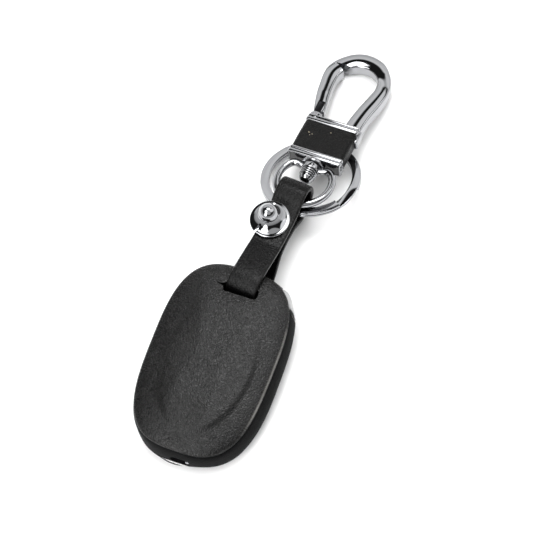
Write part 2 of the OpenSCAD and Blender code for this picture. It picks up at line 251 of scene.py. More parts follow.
# ---------------------------------------------------------------- mesh tools
def solid(name, verts, faces, mat, sharp=40.0, merge=2e-7):
    me = bpy.data.meshes.new(name)
    me.from_pydata([tuple(v) for v in np.asarray(verts, float)], [], [tuple(int(i) for i in f) for f in faces])
    bm = bmesh.new()
    bm.from_mesh(me)
    bmesh.ops.remove_doubles(bm, verts=bm.verts, dist=merge)
    bmesh.ops.dissolve_degenerate(bm, edges=bm.edges, dist=1e-8)
    bmesh.ops.recalc_face_normals(bm, faces=bm.faces)
    bm.to_mesh(me)
    bm.free()
    me.materials.append(M[mat])
    ob = bpy.data.objects.new(name, me)
    scene.collection.objects.link(ob)
    shade(ob, sharp)
    ob["mat"] = mat
    return ob

def shade(ob, sharp=40.0):
    me = ob.data
    me.polygons.foreach_set("use_smooth", [True] * len(me.polygons))
    if sharp:
        me.set_sharp_from_angle(angle=math.radians(sharp))
    me.update()

def bake(ob):
    """Apply the modifiers of ob to its mesh."""
    bpy.context.view_layer.update()
    dg = bpy.context.evaluated_depsgraph_get()
    me = bpy.data.meshes.new_from_object(ob.evaluated_get(dg))
    old = ob.data
    ob.modifiers.clear()
    ob.data = me
    bpy.data.meshes.remove(old)

def cut(ob, cutter, op="DIFFERENCE"):
    md = ob.modifiers.new("cut", "BOOLEAN")
    md.operation = op
    md.solver = "EXACT"
    md.material_mode = "TRANSFER"
    md.object = cutter
    bake(ob)
    me = cutter.data
    bpy.data.objects.remove(cutter)
    bpy.data.meshes.remove(me)

def bevel(ob, width, segments=3, angle=35.0):
    md = ob.modifiers.new("bevel", "BEVEL")
    md.width = width / 1000.0
    md.segments = segments
    md.limit_method = "ANGLE"
    md.angle_limit = math.radians(angle)
    md.use_clamp_overlap = True
    md.harden_normals = False
    bake(ob)

def weighted(ob):
    md = ob.modifiers.new("weighted", "WEIGHTED_NORMAL")
    md.keep_sharp = True
    bake(ob)

def join(name, obs):
    bpy.context.view_layer.update()
    first = obs[0]
    bm = bmesh.new()
    mats = []
    for o in obs:
        base = len(mats)
        mats += list(o.data.materials)
        tmp = o.data.copy()
        n0 = len(bm.faces)
        bm.from_mesh(tmp)
        bm.faces.ensure_lookup_table()
        for f in bm.faces[n0:]:
            f.material_index += base
        bpy.data.meshes.remove(tmp)
    me = bpy.data.meshes.new(name)
    bm.to_mesh(me)
    bm.free()
    uniq = []
    remap = []
    for m_ in mats:
        if m_ not in uniq:
            uniq.append(m_)
        remap.append(uniq.index(m_))
    for m_ in uniq:
        me.materials.append(m_)
    for p in me.polygons:
        p.material_index = remap[p.material_index]
    ob = bpy.data.objects.new(name, me)
    scene.collection.objects.link(ob)
    for o in obs:
        d = o.data
        bpy.data.objects.remove(o)
        bpy.data.meshes.remove(d)
    return ob

def put(ob, body, slot, *nodes):
    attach(ob, body)
    if nodes:
        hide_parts(*nodes)
    return ob

def loft(rings, close=False, cap=(True, True)):
    """rings: list of (M,3) arrays, all the same length. Returns verts, faces."""
    R = np.asarray(rings, float)
    N, Mn = R.shape[:2]
    faces = []
    for i in range(N if close else N - 1):
        k = (i + 1) % N
        for j in range(Mn):
            l = (j + 1) % Mn
            faces.append((i * Mn + j, i * Mn + l, k * Mn + l, k * Mn + j))
    if not close:
        if cap[0]:
            faces.append(tuple(range(Mn))[::-1])
        if cap[1]:
            faces.append(tuple((N - 1) * Mn + j for j in range(Mn)))
    return R.reshape(-1, 3), faces

def cr(points, k):
    """Catmull-Rom through the points, k steps a span."""
    p = np.asarray(points, float)
    n = len(p)
    out = []
    for i in range(n - 1):
        p0, p1, p2, p3 = p[max(i - 1, 0)], p[i], p[i + 1], p[min(i + 2, n - 1)]
        for j in range(k):
            t = j / k
            out.append(0.5 * (2 * p1 + (p2 - p0) * t + (2 * p0 - 5 * p1 + 4 * p2 - p3) * t * t
                              + (3 * p1 - p0 - 3 * p2 + p3) * t ** 3))
    out.append(p[-1])
    return np.array(out)

def resample(p, step, closed=False):
    q = np.vstack([p, p[:1]]) if closed else p
    d = np.r_[0, np.cumsum(np.linalg.norm(np.diff(q, axis=0), axis=1))]
    n = max(3, int(round(d[-1] / step)))
    s = np.linspace(0, d[-1], n + 1)
    if closed:
        s = s[:-1]
    return np.stack([np.interp(s, d, q[:, i]) for i in range(q.shape[1])], 1)

def lathe(name, profile, to, mat, axis="z", n=96, sharp=40.0):
    """profile: (radius, height) pairs, closed on the axis or into a ring. to maps mm points into the row frame."""
    pr = np.asarray(profile, float)
    a = np.linspace(0, 2 * math.pi, n, endpoint=False)
    ringlist = []
    for r, h in pr:
        c, s = r * np.cos(a), r * np.sin(a)
        if axis == "z":
            ringlist.append(np.stack([c, s, np.full(n, h)], 1))
        else:
            ringlist.append(np.stack([c, np.full(n, h), s], 1))
    v, f = loft(ringlist, cap=(False, False))
    if abs(pr[0, 0]) > 1e-9 or abs(pr[-1, 0]) > 1e-9:
        N = len(pr)
        for j in range(n):
            l = (j + 1) % n
            f.append(((N - 1) * n + j, (N - 1) * n + l, l, j))
    return solid(name, to(v), f, mat, sharp)

def arc(cx, cy, r, a0, a1, k):
    return [(cx + r * math.cos(math.radians(a0 + (a1 - a0) * i / k)),
             cy + r * math.sin(math.radians(a0 + (a1 - a0) * i / k))) for i in range(k + 1)]

def rrect(w, h, r, k=5):
    """Rounded rectangle outline, w across and h high."""
    pts = []
    for sx, sy, a in ((1, 1, 0), (-1, 1, 90), (-1, -1, 180), (1, -1, 270)):
        pts += arc(sx * (w / 2 - r), sy * (h / 2 - r), r, a, a + 90, k)
    return np.array(pts)

def prism(name, outline, z0, z1, to, mat, sharp=40.0):
    o = np.asarray(outline, float)
    r = [np.c_[o, np.full(len(o), z)] for z in (z0, z1)]
    v, f = loft(r)
    return solid(name, to(v), f, mat, sharp)

def rbox(name, lo, hi, to, mat, r, seg=4, sharp=None):
    lo, hi = np.array(lo, float), np.array(hi, float)
    c = [(x, y, z) for x in (lo[0], hi[0]) for y in (lo[1], hi[1]) for z in (lo[2], hi[2])]
    f = [(0, 1, 3, 2), (4, 6, 7, 5), (0, 4, 5, 1), (2, 3, 7, 6), (0, 2, 6, 4), (1, 5, 7, 3)]
    ob = solid(name, to(c), f, mat, None)
    if r:
        bevel(ob, r, seg)
    shade(ob, sharp)
    return ob

rng = np.random.default_rng(7)

# ---------------------------------------------------------------- cover outline
A, B, NN, EGG = 21.9, 34.0, 3.1, 0.025

def sep(a, b, t):
    c, s = np.cos(t), np.sin(t)
    x = a * np.sign(c) * np.abs(c) ** (2 / NN) * (1 + EGG * np.sign(s) * np.abs(s) ** (2 / NN))
    y = b * np.sign(s) * np.abs(s) ** (2 / NN)
    return np.stack([x, y], -1)

def even_angles(n):
    t = np.linspace(0, 2 * math.pi, 40001)
    t = np.sort(np.concatenate([t] + [k * math.pi / 2 + s * np.geomspace(1e-9, 0.02, 400) for k in range(5) for s in (-1, 1)]))
    t = t[(t >= 0) & (t <= 2 * math.pi)]
    p = sep(A, B, t)
    d = np.r_[0, np.cumsum(np.linalg.norm(np.diff(p, axis=0), axis=1))]
    return np.interp(np.arange(n) * d[-1] / n, d, t)

T = even_angles(300)
def outline(d): return sep(A + d, B + d, T)
def short_outline(d, top):
    b, c = (top + B + d) / 2, (top - B - d) / 2
    return sep(A + d, b, T) + np.array([0, c])

BASE = outline(0)
tan = np.roll(BASE, -1, 0) - np.roll(BASE, 1, 0)
NORMAL = np.stack([tan[:, 1], -tan[:, 0]], 1)
NORMAL /= np.linalg.norm(NORMAL, axis=1)[:, None]
REACH = (BASE * NORMAL).sum(1)

def smooth01(x):
    x = np.clip(x, 0, 1)
    return x * x * (3 - 2 * x)

def relief(x, y):
    """The raised oval pressed into the back, mm."""
    r = np.sqrt(((x - 0.6) / 15.2) ** 2 + ((y + 2.0) / 25.4) ** 2)
    edge = (1 - r) * 18.0
    h = 0.5 * smooth01((edge + 1.0) / 2.2)
    # fades out towards the strap
    return h * smooth01((16 - y) / 22.0)

def top_z(delta, x, y):
    z = 13.9 + 1.72 * (1 - np.exp(-delta / 3.3)) + 0.012 * np.minimum(delta, 18) + 1.1 * smooth01((delta - 2) / 16)
    return z + relief(x, y) - 0.25 * np.exp(-(((x - 0.5) / 10) ** 2 + ((y - 25.3) / 3.5) ** 2))

def cover_back():
    rings = []
    for d, z in ((-1.8, 12.4), (-0.45, 12.36), (-0.18, 12.44), (-0.04, 12.62), (0.0, 12.9), (0.02, 13.3), (-0.02, 13.6),
                 (-0.12, 13.82), (-0.3, 13.98)):
        rings.append(np.c_[outline(d), np.full(len(T), z)])
    us = list(1 - np.array([0.6, 0.9, 1.3, 1.8, 2.4, 3.1, 3.9, 4.8]) / 28.0) + list(np.linspace(0.79, 0.0, 58))
    for u in us:
        p = BASE * u
        delta = (1 - u) * REACH
        rings.append(np.c_[p, top_z(delta, p[:, 0], p[:, 1])])
    rings.append(None)
    outer = rings[:-1]
    inner = []
    for u in list(np.linspace(0.0, 0.86, 10)):
        p = BASE * u
        delta = (1 - u) * REACH
        inner.append(np.c_[p, 13.9 + 1.72 * (1 - np.exp(-delta / 3.3)) - 2.0])
    inner.append(np.c_[outline(-2.4), np.full(len(T), 13.0)])
    v, f = loft(outer + inner, close=True)
    ob = solid("cover_back", cov(v), f, "cover", None)
    return ob

def slot_cutter():
    o = np.array([(-7.4, 26.0), (-7.35, 25.7), (-5.8, 25.4), (-4.9, 25.0), (-4.3, 23.4), (6.9, 23.3), (7.5, 23.6), (7.7, 24.2), (7.7, 26.6),
                  (7.4, 27.2), (6.8, 27.4), (-4.0, 27.3), (-4.8, 26.4), (-6.0, 26.1)])
    return prism("cutter", o, -2, 22, cov, "wall")

def mark(ob, fn, name="edge"):
    co = np.empty(len(ob.data.vertices) * 3)
    ob.data.vertices.foreach_get("co", co)
    co = co.reshape(-1, 3) * 1000 - COVER
    a = ob.data.attributes.new(name, "FLOAT", "POINT")
    a.data.foreach_set("value", np.clip(fn(co), 0, 1).astype(np.float32))

def edge_distance(co):
    """Distance inside the outline at the rim, mm, from the implicit superellipse."""
    y = co[:, 1]
    t = np.clip(y / B, -1, 1)
    a = A * (1 + EGG * t)
    F = (np.abs(co[:, 0]) / a) ** NN + (np.abs(y) / B) ** NN
    g = np.sqrt((NN * np.abs(co[:, 0]) ** (NN - 1) / a ** NN) ** 2 + (NN * np.abs(y) ** (NN - 1) / B ** NN) ** 2)
    return (1 - F) / np.maximum(g, 1e-6)

back = cover_back()
cut(back, slot_cutter())
# cover rim line: faint all round as edge paint, strong on the right side only as a painted highlight where light
# catches the fold
mark(back, lambda c: np.exp(-((edge_distance(c) - 0.28) / 0.3) ** 2) * (c[:, 2] > 13.5)
     * (0.06 + 0.94 * smooth01((c[:, 0] - 8) / 8) * smooth01((c[:, 1] + 24) / 12) * smooth01((20 - c[:, 1]) / 6)))
# regions of the cover where the light falls away (lower right, bottom, top by the slot, left flank): more roughness,
# and painted shade in the base colour
def rough_and_shade_mask(c):
    out = 1.1 * np.exp(-(((c[:, 0] - 14) / 9) ** 2 + ((c[:, 1] + 25) / 8) ** 2))
    out += 0.5 * np.exp(-(((c[:, 0] - 3) / 13) ** 2 + ((c[:, 1] + 30) / 5) ** 2))
    out += 0.9 * smooth01((c[:, 1] - 13) / 14) * smooth01((18 - c[:, 0]) / 8)
    out += 0.8 * smooth01((-7.5 - c[:, 0]) / 13) * smooth01((c[:, 1] + 24) / 10)
    return out
mark(back, rough_and_shade_mask, "rough_and_shade")
back.data.materials.append(M["wall"])
for f_ in back.data.polygons:
    if f_.normal.z < 0.35 and f_.center.z * 1000 > 12.3 and edge_distance(np.array([[f_.center.x * 1000 - COVER[0], f_.center.y * 1000 - COVER[1], 0]]))[0] < 0.6:
        f_.material_index = len(back.data.materials) - 1
shade(back, 50)
put(back, "cover", "cover_leather", "back_shell")

LIPX = [(-18, 0), (-15, 0.3), (-11.3, 0.65), (-7.7, 0.82), (-4.5, 0.97), (-2, 1), (0, 0.97), (3.1, 0.8), (6, 0.42), (8.5, 0)]
POLAR = np.degrees(np.arctan2(BASE[:, 1] / B, BASE[:, 0] / A))
def bump(at, width):
    d = (POLAR - at + 180) % 360 - 180
    return np.exp(-(d / width) ** 2)

def cover_front():
    lip = np.interp(BASE[:, 0], [q[0] for q in LIPX], [q[1] for q in LIPX]) * (BASE[:, 1] < -20)
    for _ in range(5):
        lip = 0.5 * lip + 0.25 * (np.roll(lip, 1) + np.roll(lip, -1))
    knots = np.array([[0, -5, 9], [0.12, -3.9, 12.5], [0.9, -1.8, 19], [2.6, 0.3, 27], [4.6, 1.2, 33.5],
                      [6.2, 1.4, 35.4], [8.6, 1.1, 35.1], [10.6, 0.6, 34.6], [12.0, 0.06, 34.06]], float)
    prof = resample(cr(knots, 6), 0.9)
    prof[-1] = knots[-1]
    def level(z, d, top):
        # a fuller right flank, flatter lower corners, and the ledge under the end opening
        w = smooth01((z - 1) / 4) * smooth01((11.5 - z) / 4)
        p = short_outline(d, top) + NORMAL * (w * (0.4 * bump(-14, 24) - 0.65 * bump(-130, 17) - 0.4 * bump(-52, 16)))[:, None]
        want = np.interp(z, [0, 0.12, 0.5, 2.6, 4.6, 6.2, 8], [1.1, 1.5, 1.85, 1.8, 1.6, 1.4, 1.15])
        g = (lip * smooth01((7 - z) / 4))[:, None]
        return np.c_[p * (1 - g) + (BASE + NORMAL * want) * g, np.full(len(T), z)]
    outer = [level(z, d, top) for z, d, top in prof]
    outer.append(np.c_[outline(-0.12), np.full(len(T), 12.2)])
    outer.append(np.c_[outline(-0.45), np.full(len(T), 12.28)])
    inner = []
    for z, d, top in ((12.28, -1.8, 32.2), (8.6, -0.7, 33.3), (5.6, -0.6, 33), (4.2, -1.6, 26), (2.4, -3.6, 17), (1.8, -7, 7)):
        inner.append(np.c_[short_outline(d, top), np.full(len(T), z)])
    for u in (0.8, 0.55, 0.3, 0.0):
        inner.append(np.c_[short_outline(-7, 7) * u, np.full(len(T), 1.8)])
    foot = outer[0][:, :2]
    floor = [np.c_[foot * u, np.zeros(len(T))] for u in (0.0, 0.3, 0.55, 0.8, 0.94)]
    v, f = loft(floor + outer + inner, close=True)
    return solid("cover_front", cov(v), f, "wall", None)

front = cover_front()
cut(front, slot_cutter())
for y in (8, -2, -12):
    cut(front, prism("cutter", rrect(13, 8, 2, 5) + np.array([0, y]), -1, 3.5, cov, "raw"))
o = rrect(7.0, 4.2, 2.0, 7)
v, f = loft([np.c_[o[:, 0] + 1.3, np.full(len(o), yy), o[:, 1] + 6.1] for yy in (-38, -30)])
cut(front, solid("cutter", cov(v), f, "gloss"))
cut(front, prism("cutter", [(13, 40), (13, 24.2), (19.2, 24.2), (24, 22), (30, 22), (30, 40)], 3.2, 20, cov, "raw"))
# a thin tube in the light ledge material along the lower rim of the end opening: painted highlight on the lit leather
# edge
k_ = [i for i in range(len(T)) if BASE[i, 1] < 0 and -5.4 < BASE[i, 0] < 5.4]
path_ = sorted([tuple(BASE[i] + NORMAL[i] * 1.6) for i in k_])
path_ = resample(np.array([(x_, y_, 3.45) for x_, y_ in path_]), 0.4)
b_ = np.linspace(0, 2 * math.pi, 12, endpoint=False)
rr = []
for i, q in enumerate(path_):
    e = min(i, len(path_) - 1 - i) / (len(path_) - 1)
    r_ = 0.05 + 0.27 * smooth01(e / 0.35)
    rr.append(np.c_[np.full(12, q[0]), q[1] + r_ * np.cos(b_), q[2] + r_ * np.sin(b_)])
v, f = loft(rr)
front = join("cover_front", [front, solid("raw_edge_painted_highlight", cov(v), f, "lip", None)])
# up-facing faces under the end opening take the light ledge material: painted highlight on the lit top of the leather
# lip
front.data.materials.append(M["lip"])
for f_ in front.data.polygons:
    c_ = np.array(f_.center) * 1000 - COVER
    if c_[1] < -35.0 and 1.0 < c_[2] < 3.0 and f_.normal.z > 0.35 and -5 < c_[0] < 5.2:
        f_.material_index = len(front.data.materials) - 1
shade(front, 50)
put(front, "cover", "cover_leather", "front_shell")

# bright loop of the remote, open towards the left, seen through the end opening
def loop():
    a = np.radians(np.linspace(-64, 215, 70))
    reach = 4.0 + 1.25 * smooth01((0 - np.degrees(a)) / 50)
    c = np.stack([0.7 + reach * np.cos(a), -30.3 + reach * np.sin(a), 4.3 + 1.3 * smooth01((20 - np.degrees(a)) / 70)], 1)
    t = np.gradient(c, axis=0)
    t /= np.linalg.norm(t, axis=1)[:, None]
    side = np.stack([t[:, 1], -t[:, 0], np.zeros(len(t))], 1)
    side /= np.linalg.norm(side, axis=1)[:, None]
    upv = np.cross(side, t)
    b = np.linspace(0, 2 * math.pi, 24, endpoint=False)
    n = len(c)
    rings = []
    for i in range(n):
        e = min(i, n - 1 - i)
        r = 0.85 * math.sqrt(1 - (1 - min(e / 5.0, 1.0)) ** 2) + 0.02
        rings.append(c[i] + r * (np.cos(b)[:, None] * side[i] + np.sin(b)[:, None] * upv[i]))
    v, f = loft(rings)
    return solid("remote_loop_end", cov(v), f, "chrome", 40)
put(loop(), "cover", "chrome", "remote_loop")

def shoulder():
    p = BASE + NORMAL * (1.35 * smooth01((BASE[:, 0] - 12.5) / 3.5))[:, None]
    k = [q for q in p if q[0] > 13.5 and q[1] > 24.6 and q[1] > 24.6 - (q[0] - 19.3) * 0.457]
    k += [q for q in p if q[0] > 19.3 and 20 < q[1] <= 24.6 and q[1] > 24.6 - (q[0] - 19.3) * 0.457]
    k = sorted(k, key=lambda q: math.atan2(q[1], q[0]))
    end = k[0]
    ob = prism("remote_shoulder_cap", np.array([(19.3, end[1] + 0.95)] + k + [(13.5, 27.5), (16.4, 25.6)]), 3.75, 11.8, cov, "satin")
    bevel(ob, 0.45, 3, 40)
    shade(ob, 40)
    return ob
put(shoulder(), "cover", "satin_metal", "remote_shoulder")

# ---------------------------------------------------------------- strap: one closed band of leather
LOWER = [[19.5, 14.2], [14, 15.3], [9.5, 16.25], [6.0, 16.75], [3.6, 16.7], [1.7, 15.9], [0.35, 14.2], [-0.05, 11.8],
         [0, 8], [0, 3.4], [0.9, 1.9], [2.8, 1.3], [9.6, 1.35], [13.6, 3.4], [16.8, 6.4], [19.5, 9]]
UPPER = [[19.9, 14.1], [24, 14.1], [28.2, 14.25], [32, 14.4], [35, 15.1], [38, 16.8],
         [41.5, 17.6], [44.4, 16.1], [45.6, 12.4], [44.4, 8.9], [41, 6.7], [37.5, 6.3],
         [34.5, 7.5], [31.2, 9.6], [28.2, 10.2], [24, 10.2], [19.9, 9.3]]

def band():
    pts = UPPER + LOWER[::-1]
    p = np.array(pts, float)
    n = len(p)
    big = np.vstack([p[-3:], p, p[:4]])
    c = cr(big, 10)
    c = c[30:30 + 10 * n]
    c = resample(c, 0.45, closed=True)
    # ease out kinks
    for _ in range(6):
        c = 0.5 * c + 0.25 * (np.roll(c, 1, 0) + np.roll(c, -1, 0))
    t = np.roll(c, -1, 0) - np.roll(c, 1, 0)
    t /= np.linalg.norm(t, axis=1)[:, None]
    nrm = np.stack([-t[:, 1], t[:, 0]], 1)
    sec = rrect(11.0, 2.0, 0.62, 5)
    # flat faces get more points across, with a faint crown
    top = [(x, 1.0) for x in np.linspace(4.0, -4.0, 9)]
    bot = [(x, -1.0) for x in np.linspace(-4.0, 4.0, 9)]
    k = len(sec) // 4
    sec = np.vstack([sec[:k], top, sec[k:2 * k], sec[2 * k:3 * k], bot, sec[3 * k:]])
    sec[:, 1] *= 1 - 0.10 * (sec[:, 0] / 5.5) ** 2
    rings = []
    N = len(c)
    wob = np.zeros((N, 4))
    for f_, a_ in ((2, 0.05), (5, 0.035), (9, 0.02)):
        ph = rng.uniform(0, 6.28, 4)
        wob += a_ * np.sin(2 * math.pi * f_ * np.arange(N)[:, None] / N + ph)
    for i in range(N):
        x = sec[:, 0] * (1 + (wob[i, 0] * 0.5) / 5.5) + wob[i, 1] * 0.4
        h = sec[:, 1]
        rings.append(np.stack([x, c[i, 0] + nrm[i, 0] * h, c[i, 1] + nrm[i, 1] * h], 1))
    v, f = loft(rings, close=True)
    ob = solid("strap", strp(v), f, "strap", None)
    e = np.tile(np.exp(-((np.abs(sec[:, 0]) - 5.25) / 0.14) ** 2) * (np.abs(sec[:, 1]) > 0.55), N)
    a = ob.data.attributes.new("edge", "FLOAT", "POINT")
    if len(a.data) == len(e):
        a.data.foreach_set("value", e.astype(np.float32))
    return ob

strap = band()
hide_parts("strap_lower", "strap_upper")
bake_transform(strap)

# ---------------------------------------------------------------- ball stud
def ball_stud():
    prof = [(0, 0), (6.7, 0)] + arc(6.8, 0.3, 0.3, -90, 0, 4) + arc(6.8, 0.5, 0.3, 0, 78, 5)
    prof += [(6.5, 0.84), (6.1, 0.88), (5.8, 0.98)]
    prof += [(5.2, 1.28), (4.5, 1.72), (3.8, 2.3), (3.2, 2.92), (2.85, 3.35), (2.62, 3.6)]
    z0 = 5.4 - math.sqrt(3.5 ** 2 - 2.55 ** 2)
    a0 = math.degrees(math.asin((z0 + 0.75 - 5.4) / 3.5))
    prof += [(2.55, 3.78)]
    prof += [p for p in arc(0, 5.4, 3.5, max(a0, -36), 90, 26)]
    return lathe("ball_stud", prof, stud, "chrome", n=128, sharp=30)
stud_head = ball_stud()
for a_, b_ in (((-3.3, -7.6), (-1.0, -2.2)), ((-0.95, 3.4), (-1.3, 7.6))):
    a_, b_ = np.array(a_), np.array(b_)
    t_ = (b_ - a_) / np.linalg.norm(b_ - a_)
    n_ = np.array([-t_[1], t_[0]]) * 0.42
    cut(stud_head, prism("cutter", [a_ - n_, b_ - n_, b_ + n_, a_ + n_], 0.45, 2.2, stud, "chrome"))
shade(stud_head, 30)
put(stud_head, "strap", "chrome", "stud_head")

# ---------------------------------------------------------------- flat split key ring
def split_ring():
    R0, R1, th = 14.95, 18.2, 0.96
    step_end, delta = -1.0, 34.0
    phis = np.arange(0, 720 - delta + 0.01, 1.5)
    rings = []
    w, h = R1 - R0, th
    sec = rrect(w, h, 0.28, 3)
    lo, hi = -0.51, 0.51
    for ph in phis:
        if ph < 360 - delta:
            z = lo
        elif ph < 360:
            z = lo + (hi - lo) * smooth01((ph - 360 + delta) / delta)
        else:
            z = hi
        a = math.radians(step_end + ph)
        r = (R0 + R1) / 2 + sec[:, 0]
        rings.append(np.stack([r * math.cos(a), r * math.sin(a), z + sec[:, 1]], 1))
    v, f = loft(rings)
    return solid("split_ring", ring(v), f, "chrome", 30)
put(split_ring(), "key_ring", "chrome", "key_ring")

# ---------------------------------------------------------------- swivel ring with its boss
def tube(name, pts, radii, to, mat, closed=False, n=32, flat=1.0, sharp=50, domed=False):
    """A bar in the hook's plane: pts are (x, y), radii are (in plane, across plane) pairs."""
    p = np.asarray(pts, float)
    t = np.roll(p, -1, 0) - np.roll(p, 1, 0)
    if not closed:
        t[0] = p[1] - p[0]
        t[-1] = p[-1] - p[-2]
    t /= np.linalg.norm(t, axis=1)[:, None]
    nn = np.stack([-t[:, 1], t[:, 0]], 1)
    a = np.linspace(0, 2 * math.pi, n, endpoint=False)
    cu, cw = np.cos(a), np.sin(a)
    if domed:
        # upright sides, a soft corner and a crowned top and bottom
        x = np.linspace(0.70, -0.70, 15)
        crown = 1 - 0.12 * (x / 0.72) ** 2
        th = np.radians(np.linspace(16, 90, 8))
        fil = np.c_[-(0.614 + 0.385 * np.sin(th)), 0.611 + 0.28 * np.cos(th)]
        wall_ = np.c_[np.full(4, -0.999), np.linspace(0.4, -0.4, 4)]
        half_ = np.vstack([np.c_[x, crown], fil, wall_, np.c_[fil[::-1, 0], -fil[::-1, 1]]])
        sec = np.vstack([half_, -half_])
        cu, cw = sec[:, 0], sec[:, 1]
    rings = []
    for i in range(len(p)):
        ra, rb = radii[i]
        if domed:
            ra, rb = ra - 0.28, rb * 0.92
        u, w = ra * cu, rb * cw
        rings.append(np.stack([p[i, 0] + nn[i, 0] * u, p[i, 1] + nn[i, 1] * u, w * flat], 1))
    v, f = loft(rings, close=closed)
    return solid(name, to(v), f, mat, sharp)

def swivel_ring():
    half = [(1.2, -3.95), (2.4, -3.8), (3.7, -3.6), (5.3, -3.0), (6.9, -3.1), (8.3, -4.25), (9.35, -6.1)]
    circ = [(10 * math.sin(math.radians(a)), -9.6 + 10 * math.cos(math.radians(a))) for a in range(75, 181, 7)]
    pts = half + circ
    right = cr(pts, 5)
    left = right[::-1].copy()
    left[:, 0] *= -1
    path = np.vstack([right, left[1:]])
    path = resample(path, 0.45)
    thin = 1.4 - 0.3 * np.exp(-((np.abs(path[:, 0]) - 2.5) / 2.2) ** 2) * (path[:, 1] > -6)
    ob = tube("swivel_ring_bar", path, list(zip(thin, thin)), hook, "chrome", n=36)
    boss = lathe("boss", [(0, -2.6), (2.9, -2.6)] + arc(3.1, -2.9, 0.3, 90, 0, 4) + arc(3.1, -4.6, 0.3, 0, -90, 4) + [(0, -4.9)],
                 hook, "chrome", axis="y", n=72, sharp=40)
    return join("swivel_ring_chrome", [ob, boss])
put(swivel_ring(), "swivel_ring", "chrome", "swivel_ring")

# collar washer and grooved pin
put(lathe("swivel_collar", [(1.5, -1.25), (3.9, -1.25)] + arc(4.0, -1.55, 0.3, 90, 0, 4) + arc(4.0, -2.1, 0.3, 0, -90, 4)
          + [(1.5, -2.4)], hook, "chrome", axis="y", n=80), "hook", "chrome", "swivel_washer")

def pin():
    prof = [(0, 0.3), (1.5, 0.3), (1.5, -5.0), (2.5, -5.02)]
    for i in range(3):
        y = -5.05 - i * 0.9
        prof += [(2.55, y)] + arc(2.7, y - 0.3, 0.3, 75, -75, 6) + [(2.5, y - 0.68)]
    prof += [(2.62, -7.7)] + arc(0, -7.35, 2.75, -10, -52, 8) + [(1.5, -9.55), (1.0, -9.72), (0.0, -9.75)]
    return lathe("swivel_pin_grooved", prof, hook, "chrome", axis="y", n=72, sharp=35)
put(pin(), "hook", "chrome", "swivel_pin")

# ---------------------------------------------------------------- bracket
def end_bracket():
    o = rrect(20.8, 7.0, 1.0, 5)
    def sl(inset, y):
        k = rrect(20.8 - 2 * inset, 7.0 - 2 * inset, max(0.25, 1.0 - inset), 5)
        return np.stack([k[:, 0], np.full(len(k), y), k[:, 1]], 1)
    rings = [sl(0.85, -0.85), sl(0.7, -1.1), sl(0.5, -1.1), sl(0.2, -1.02), sl(0.1, -0.88), sl(0.03, -0.65), sl(0, -0.4), sl(0, -0.2), sl(0.03, 0.1), sl(0.1, 0.35),
             sl(0.3, 0.52), sl(0.32, 0.7), sl(0.14, 0.8), sl(0.05, 1.0), sl(0.02, 1.2), sl(0.03, 1.4), sl(0.1, 1.7), sl(0.3, 1.9), sl(0.75, 1.9), sl(0.75, 0.4)]
    v, f = loft(rings)
    return solid("end_bracket", hook(v), f, "chrome", 55)
put(end_bracket(), "hook", "chrome", "end_frame")
panel = prism("bracket_panel", rrect(19.0, 5.2, 0.7, 4), 0.86, 1.0, lambda p: hook(np.asarray(p) @ rot((1, 0, 0), 90).T), "gloss")
put(panel, "hook", "remote_plastic")

def wrap():
    rings = []
    ys = [0.5, 1.2, 1.7, 1.95, 2.15, 2.6, 3.4, 4.6, 6.2, 8, 9.8, 11.4, 12.8, 13.7, 14.1, 14.35, 14.45]
    for y in ys:
        if y < 1.9:
            w, h, r = 19.1, 5.4, 1.4
        else:
            e = min(y - 1.95, 14.45 - y)
            roll = 0.35 * math.exp(-e / 0.35)
            puff = 0.12 * math.sin(math.pi * (y - 1.95) / 12.2)
            w, h, r = 20.2 - roll + puff, 6.7 - roll + puff, 1.7
        k = rrect(w, h, r, 6)
        top = [(x, h / 2) for x in np.linspace(w / 2 - r - 0.8, -(w / 2 - r - 0.8), 12)]
        bot = [(x, -h / 2) for x in np.linspace(-(w / 2 - r - 0.8), w / 2 - r - 0.8, 12)]
        q = len(k) // 4
        k = np.vstack([k[:q], top, k[q:2 * q], k[2 * q:3 * q], bot, k[3 * q:]])
        rings.append(np.stack([k[:, 0], np.full(len(k), y), k[:, 1]], 1))
    v, f = loft(rings)
    return solid("wrap", hook(v), f, "wrap", 60)
w_ = wrap()
bits = [w_]
for x_, y_, r_, t_ in ((-6.24, 8.96, 0.2, 0.3), (-4.85, 8.51, 0.16, 1.4), (-5.5, 7.9, 0.13, 0.8), (1.39, 11.36, 0.17, 0.2)):
    a_ = np.linspace(0, 2 * math.pi, 14, endpoint=False)
    wob_ = r_ * (1 + 0.3 * np.sin(3 * a_ + t_) + 0.2 * np.sin(5 * a_))
    rr = [np.c_[x_ + wob_ * k_ * np.cos(a_) * 1.5, y_ + wob_ * k_ * np.sin(a_), np.full(14, z_)] for k_, z_ in ((1, 3.3), (1, 3.42), (0.75, 3.47), (0.2, 3.49))]
    v, f = loft(rr)
    bits.append(solid("nick", hook(v), f, "nick", None))
w_ = join("wrap", bits)
put(w_, "hook", "wrap_leather", "leather_wrap")

